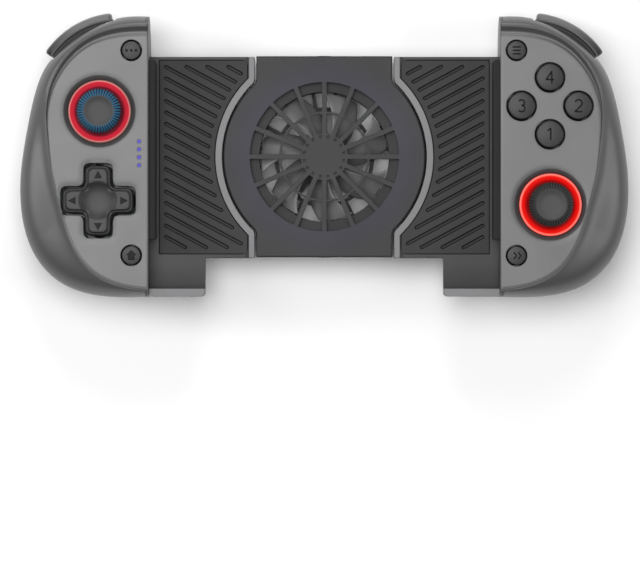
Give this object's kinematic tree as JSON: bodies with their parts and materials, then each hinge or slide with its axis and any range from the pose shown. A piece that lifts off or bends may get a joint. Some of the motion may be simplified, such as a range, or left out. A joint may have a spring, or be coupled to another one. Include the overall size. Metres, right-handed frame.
{
  "type": "mobile game controller",
  "caption": "Telescopic phone grip with thumb sticks, D-pad, buttons and triggers on two sliding handles beside a cooling fan that the phone rests on.",
  "frame": {"origin": "middle of the closed controller, on the surface it lies on", "axes": "+X along the length to the player's right, +Y towards the shoulder buttons, +Z out of the face"},
  "size_m": [0.1958, 0.0916, 0.04],
  "materials": {
    "grip_grey": "fine matt moulded plastic, mid grey",
    "wing_grey": "fine matt moulded plastic, lighter grey",
    "module_grey": "dark grey matt plastic",
    "frame_dark": "dark plastic, plain",
    "pad_rubber": "dark grained anti-slip rubber",
    "strip_rubber": "black soft rubber",
    "button_dark": "dark satin plastic with a rounded crown",
    "stick_rubber": "black rubber with a knurled edge",
    "lit_red": "translucent plastic lit red from behind",
    "lit_glow": "translucent ring lit from behind",
    "light_pipe": "clear light pipes, lit blue",
    "trigger_grey": "dark grey satin plastic",
    "steel": "turned steel",
    "brass": "sintered bronze",
    "board_green": "green circuit board",
    "winding": "copper winding on a steel core",
    "foil": "battery cell in foil",
    "port_metal": "drawn steel shell with a black tongue",
    "dome_rubber": "translucent silicone rubber"
  },
  "bodies": {
    "centre_module": {"bridge_frame": "frame_dark", "fan_cover": "module_grey", "fan_base": "module_grey", "fan_frame": "frame_dark", "fan_motor_stator": "winding", "fan_bush": "brass", "fan_light_ring": "lit_glow", "fan_board": "board_green", "fan_usb_port": "port_metal", "centre_screws": "steel", "left_return_springs": "steel", "right_return_springs": "steel"},
    "fan_rotor": {"fan_rotor": "frame_dark"},
    "left_grip": {"left_front_shell": "grip_grey", "left_rear_shell": "grip_grey", "left_wing_plate": "wing_grey", "left_pad": "pad_rubber", "left_clamp_strip": "strip_rubber", "left_board": "board_green", "left_grip_screws": "steel", "left_usb_port": "port_metal", "left_battery": "foil", "left_light_pipes": "light_pipe", "left_stick_ring": "lit_red", "left_stick_box": "frame_dark", "left_rubber_domes": "dome_rubber", "left_shoulder_pins": "steel", "dpad_post": "frame_dark"},
    "right_grip": {"right_front_shell": "grip_grey", "right_rear_shell": "grip_grey", "right_wing_plate": "wing_grey", "right_pad": "pad_rubber", "right_clamp_strip": "strip_rubber", "right_board": "board_green", "right_grip_screws": "steel", "right_stick_ring": "lit_red", "right_stick_box": "frame_dark", "right_rubber_domes": "dome_rubber", "right_shoulder_pins": "steel", "rumble_motor": "steel"},
    "left_stick_yoke": {"left_stick_yoke": "frame_dark"},
    "left_stick_rod": {"left_stick_rod": "steel"},
    "left_stick_cap": {"left_stick_cap": "stick_rubber"},
    "dpad_yoke": {"dpad_yoke": "frame_dark"},
    "dpad": {"dpad": "button_dark"},
    "more_button": {"more_button": "button_dark"},
    "home_button": {"home_button": "button_dark"},
    "left_bumper": {"left_bumper": "trigger_grey"},
    "left_trigger": {"left_trigger": "trigger_grey"},
    "right_stick_yoke": {"right_stick_yoke": "frame_dark"},
    "right_stick_rod": {"right_stick_rod": "steel"},
    "right_stick_cap": {"right_stick_cap": "stick_rubber"},
    "back_face_button": {"back_face_button": "button_dark"},
    "front_face_button": {"front_face_button": "button_dark"},
    "inner_face_button": {"inner_face_button": "button_dark"},
    "outer_face_button": {"outer_face_button": "button_dark"},
    "menu_button": {"menu_button": "button_dark"},
    "turbo_button": {"turbo_button": "button_dark"},
    "right_bumper": {"right_bumper": "trigger_grey"},
    "right_trigger": {"right_trigger": "trigger_grey"}
  },
  "joints": [
    {"name": "left_grip_slide", "type": "slide", "parent": "centre_module", "child": "left_grip", "axis": [-1, 0, 0], "range_m": [0, 0.033], "stiffness_N_per_m": 150, "springref_m": -0.02, "deforming": ["left_return_springs"]},
    {"name": "right_grip_slide", "type": "slide", "parent": "centre_module", "child": "right_grip", "axis": [1, 0, 0], "range_m": [0, 0.033], "stiffness_N_per_m": 150, "springref_m": -0.02, "deforming": ["right_return_springs"]},
    {"name": "fan_spin", "type": "hinge", "parent": "centre_module", "child": "fan_rotor", "pos_m": [0, -0.00085, 0.01], "axis": [0, 0, 1], "continuous": true},
    {"name": "left_stick_tilt_x", "type": "hinge", "parent": "left_grip", "child": "left_stick_yoke", "pos_m": [-0.072, 0.0134, 0.0215], "axis": [1, 0, 0], "range_deg": [-16, 16], "stiffness_Nm_per_rad": 0.03},
    {"name": "left_stick_tilt_y", "type": "hinge", "parent": "left_stick_yoke", "child": "left_stick_rod", "pos_m": [-0.072, 0.0134, 0.0215], "axis": [0, 1, 0], "range_deg": [-16, 16], "stiffness_Nm_per_rad": 0.03},
    {"name": "left_stick_press", "type": "slide", "parent": "left_stick_rod", "child": "left_stick_cap", "axis": [0, 0, -1], "range_m": [0, 0.0005], "stiffness_N_per_m": 1500},
    {"name": "right_stick_tilt_x", "type": "hinge", "parent": "right_grip", "child": "right_stick_yoke", "pos_m": [0.0724, -0.0165, 0.0215], "axis": [1, 0, 0], "range_deg": [-16, 16], "stiffness_Nm_per_rad": 0.03},
    {"name": "right_stick_tilt_y", "type": "hinge", "parent": "right_stick_yoke", "child": "right_stick_rod", "pos_m": [0.0724, -0.0165, 0.0215], "axis": [0, 1, 0], "range_deg": [-16, 16], "stiffness_Nm_per_rad": 0.03},
    {"name": "right_stick_press", "type": "slide", "parent": "right_stick_rod", "child": "right_stick_cap", "axis": [0, 0, -1], "range_m": [0, 0.0005], "stiffness_N_per_m": 1500},
    {"name": "dpad_tilt_x", "type": "hinge", "parent": "left_grip", "child": "dpad_yoke", "pos_m": [-0.0724, -0.0152, 0.0275], "axis": [1, 0, 0], "range_deg": [-5, 5], "stiffness_Nm_per_rad": 0.12},
    {"name": "dpad_tilt_y", "type": "hinge", "parent": "dpad_yoke", "child": "dpad", "pos_m": [-0.0724, -0.0152, 0.0275], "axis": [0, 1, 0], "range_deg": [-5, 5], "stiffness_Nm_per_rad": 0.12},
    {"name": "back_face_button_press", "type": "slide", "parent": "right_grip", "child": "back_face_button", "axis": [0, 0, -1], "range_m": [0, 0.0012], "stiffness_N_per_m": 400},
    {"name": "front_face_button_press", "type": "slide", "parent": "right_grip", "child": "front_face_button", "axis": [0, 0, -1], "range_m": [0, 0.0012], "stiffness_N_per_m": 400},
    {"name": "inner_face_button_press", "type": "slide", "parent": "right_grip", "child": "inner_face_button", "axis": [0, 0, -1], "range_m": [0, 0.0012], "stiffness_N_per_m": 400},
    {"name": "outer_face_button_press", "type": "slide", "parent": "right_grip", "child": "outer_face_button", "axis": [0, 0, -1], "range_m": [0, 0.0012], "stiffness_N_per_m": 400},
    {"name": "more_button_press", "type": "slide", "parent": "left_grip", "child": "more_button", "axis": [0, 0, -1], "range_m": [0, 0.0008], "stiffness_N_per_m": 500},
    {"name": "home_button_press", "type": "slide", "parent": "left_grip", "child": "home_button", "axis": [0, 0, -1], "range_m": [0, 0.0008], "stiffness_N_per_m": 500},
    {"name": "menu_button_press", "type": "slide", "parent": "right_grip", "child": "menu_button", "axis": [0, 0, -1], "range_m": [0, 0.0008], "stiffness_N_per_m": 500},
    {"name": "turbo_button_press", "type": "slide", "parent": "right_grip", "child": "turbo_button", "axis": [0, 0, -1], "range_m": [0, 0.0008], "stiffness_N_per_m": 500},
    {"name": "left_bumper_press", "type": "hinge", "parent": "left_grip", "child": "left_bumper", "pos_m": [-0.06942, 0.04106, 0.0238], "axis": [0, 0, 1], "range_deg": [0, 3], "stiffness_Nm_per_rad": 0.9},
    {"name": "left_trigger_pull", "type": "hinge", "parent": "left_grip", "child": "left_trigger", "pos_m": [-0.07757, 0.03715, 0.0175], "axis": [-0.8704, -0.4924, 0], "range_deg": [0, 11], "stiffness_Nm_per_rad": 0.25},
    {"name": "right_bumper_press", "type": "hinge", "parent": "right_grip", "child": "right_bumper", "pos_m": [0.06942, 0.04106, 0.0238], "axis": [0, 0, -1], "range_deg": [0, 3], "stiffness_Nm_per_rad": 0.9},
    {"name": "right_trigger_pull", "type": "hinge", "parent": "right_grip", "child": "right_trigger", "pos_m": [0.07757, 0.03715, 0.0175], "axis": [-0.8704, 0.4924, 0], "range_deg": [0, 11], "stiffness_Nm_per_rad": 0.25}
  ]
}
